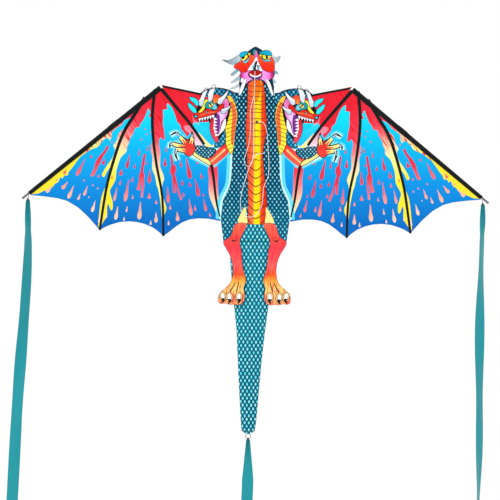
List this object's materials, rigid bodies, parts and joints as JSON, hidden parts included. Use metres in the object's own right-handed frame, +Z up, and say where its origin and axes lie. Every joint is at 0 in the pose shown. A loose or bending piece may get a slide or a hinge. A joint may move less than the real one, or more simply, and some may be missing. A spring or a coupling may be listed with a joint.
{
  "type": "dragon kite",
  "caption": "Single-line kite with a bat-wing printed sail, dragon body and heads, legs, sock tail, streamers, bridle and a folding rod frame.",
  "frame": {"origin": "top of the spine's upper cap, on the spine's axis, where the kite hangs from its hang point", "axes": "+X to the kite's right wing as seen from the front, +Y to the back, +Z up along the spine"},
  "size_m": [1.923, 0.0771, 2.9215],
  "materials": {
    "printed_nylon": "printed ripstop nylon, satin",
    "tail_nylon": "printed ripstop nylon, satin",
    "black_binding": "woven tape, matt",
    "teal_ribbon": "ripstop ribbon, satin",
    "white_line": "braided line",
    "black_line": "braided line",
    "glassfibre": "pultruded rod, satin gloss",
    "black_plastic": "moulded, matt",
    "vinyl": "flexible vinyl tube, satin"
  },
  "bodies": {
    "centre": {"body_panel": "printed_nylon", "head_panel": "printed_nylon", "spine_rod": "glassfibre", "spine_cap_top": "black_plastic", "spine_cap_bottom": "black_plastic", "hub": "black_plastic", "spine_tunnel_upper": "black_binding", "spine_tunnel_lower": "black_binding", "bridle_tab_nose": "black_binding", "bridle_tab_belly": "black_binding", "bridle_upper_leg": "white_line", "bridle_lower_leg": "white_line", "bridle_slack_strand": "white_line", "bridle_tag_end": "white_line", "tow_knot": "white_line"},
    "left_wing": {"left_wing_panel": "printed_nylon", "left_head_panel": "printed_nylon", "left_outer_tape": "black_binding", "left_middle_tape": "black_binding", "left_inner_tape": "black_binding", "left_root_tape": "black_binding", "left_edge_binding": "black_binding", "left_edge_rod": "glassfibre", "left_apex_cap": "black_plastic", "left_tip_cap": "black_plastic", "left_upper_sleeve": "black_binding", "left_lower_sleeve": "black_binding", "left_hub_arm": "black_plastic", "left_spreader_rod": "glassfibre", "left_connector": "vinyl"},
    "right_wing": {"right_wing_panel": "printed_nylon", "right_head_panel": "printed_nylon", "right_outer_tape": "black_binding", "right_middle_tape": "black_binding", "right_inner_tape": "black_binding", "right_root_tape": "black_binding", "right_edge_binding": "black_binding", "right_edge_rod": "glassfibre", "right_apex_cap": "black_plastic", "right_tip_cap": "black_plastic", "right_upper_sleeve": "black_binding", "right_lower_sleeve": "black_binding", "right_hub_arm": "black_plastic", "right_spreader_rod": "glassfibre", "right_connector": "vinyl"},
    "left_shin": {"left_leg": "printed_nylon"},
    "right_shin": {"right_leg": "printed_nylon"},
    "sock_tail": {"tail_front": "tail_nylon", "tail_back": "tail_nylon", "tail_left": "tail_nylon", "tail_right": "tail_nylon", "tail_tab": "black_binding"},
    "left_wing_streamer": {"left_streamer_tie": "black_line", "left_streamer": "teal_ribbon"},
    "right_wing_streamer": {"right_streamer_tie": "black_line", "right_streamer": "teal_ribbon"},
    "tail_end_streamer": {"tail_streamer_tie": "black_line", "tail_streamer": "teal_ribbon"}
  },
  "joints": [
    {"name": "left_wing_fold", "type": "hinge", "parent": "centre", "child": "left_wing", "pos_m": [0, 0, 0], "axis": [0, 0, 1], "range_deg": [-85, 0]},
    {"name": "right_wing_fold", "type": "hinge", "parent": "centre", "child": "right_wing", "pos_m": [0, 0, 0], "axis": [0, 0, 1], "range_deg": [0, 85]},
    {"name": "left_knee", "type": "hinge", "parent": "centre", "child": "left_shin", "pos_m": [-0.097, -0.011, -0.79], "axis": [1, 0, 0], "range_deg": [-80, 0]},
    {"name": "right_knee", "type": "hinge", "parent": "centre", "child": "right_shin", "pos_m": [0.097, -0.011, -0.79], "axis": [1, 0, 0], "range_deg": [-80, 0]},
    {"name": "tail_lift", "type": "hinge", "parent": "centre", "child": "sock_tail", "pos_m": [-0.012, -0.009, -0.801], "axis": [1, 0, 0], "range_deg": [0, 60]},
    {"name": "left_streamer_swing", "type": "hinge", "parent": "left_wing", "child": "left_wing_streamer", "pos_m": [-0.93546, -0.011, -0.60272], "axis": [-0.7736, 0, -0.6337], "range_deg": [-60, 60]},
    {"name": "right_streamer_swing", "type": "hinge", "parent": "right_wing", "child": "right_wing_streamer", "pos_m": [0.93546, -0.011, -0.60272], "axis": [0.7736, 0, -0.6337], "range_deg": [-60, 60]},
    {"name": "tail_streamer_swing", "type": "hinge", "parent": "sock_tail", "child": "tail_end_streamer", "pos_m": [-0.02, 0.024, -1.583], "axis": [1, 0, 0], "range_deg": [-60, 60]}
  ]
}
